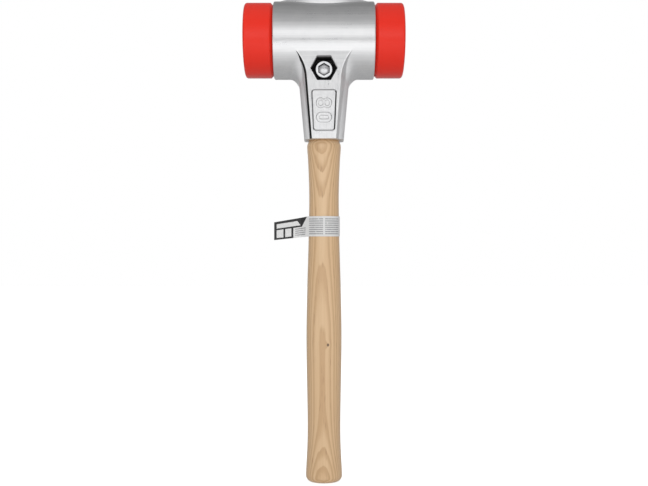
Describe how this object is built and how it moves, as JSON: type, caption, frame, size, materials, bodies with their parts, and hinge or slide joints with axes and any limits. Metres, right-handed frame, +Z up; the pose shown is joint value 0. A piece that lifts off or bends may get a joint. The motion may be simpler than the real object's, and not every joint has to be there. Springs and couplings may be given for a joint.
{
  "type": "soft-face mallet",
  "caption": "Soft-face mallet: a split cast aluminium head, clamped by a socket screw, grips red plastic striking faces and an ash handle.",
  "frame": {"origin": "centre of the handle's butt end, on its flat face", "axes": "+Z up the handle to the head, X along the striking axis with the left face at -X, -Y towards the side with the screw head"},
  "size_m": [0.1704, 0.0828, 0.52],
  "materials": {
    "cast_aluminium": "satin, as cast and brushed",
    "red_face_plastic": "satin",
    "ash_wood": "clear satin lacquer",
    "zinc_steel": "bright zinc plate",
    "black_steel": "black oxide",
    "nylon": "plain",
    "label_paper": "smooth coated"
  },
  "bodies": {
    "front_half": {"front_housing": "cast_aluminium", "handle": "ash_wood", "handle_label": "label_paper", "screw_washer": "black_steel"},
    "rear_half": {"rear_housing": "cast_aluminium", "clamp_nut": "zinc_steel", "nut_lock_ring": "nylon"},
    "clamp_screw": {"clamp_screw": "zinc_steel"},
    "left_face": {"left_face": "red_face_plastic"},
    "right_face": {"right_face": "red_face_plastic"}
  },
  "joints": [
    {"name": "clamp_screw_turn", "type": "hinge", "parent": "front_half", "child": "clamp_screw", "pos_m": [0, 0, 0.442], "axis": [0, -1, 0], "range_deg": [0, 1440]},
    {"name": "clamp_open", "type": "slide", "parent": "front_half", "child": "rear_half", "axis": [0, 1, 0], "range_m": [0, 0.007]},
    {"name": "left_face_pull", "type": "slide", "parent": "front_half", "child": "left_face", "axis": [-1, 0, 0], "range_m": [0, 0.036]},
    {"name": "right_face_pull", "type": "slide", "parent": "front_half", "child": "right_face", "axis": [1, 0, 0], "range_m": [0, 0.036]}
  ],
  "couplings": [
    {"joint": "clamp_screw_turn", "follows": "clamp_open", "rad_per_m": 3590.4}
  ]
}
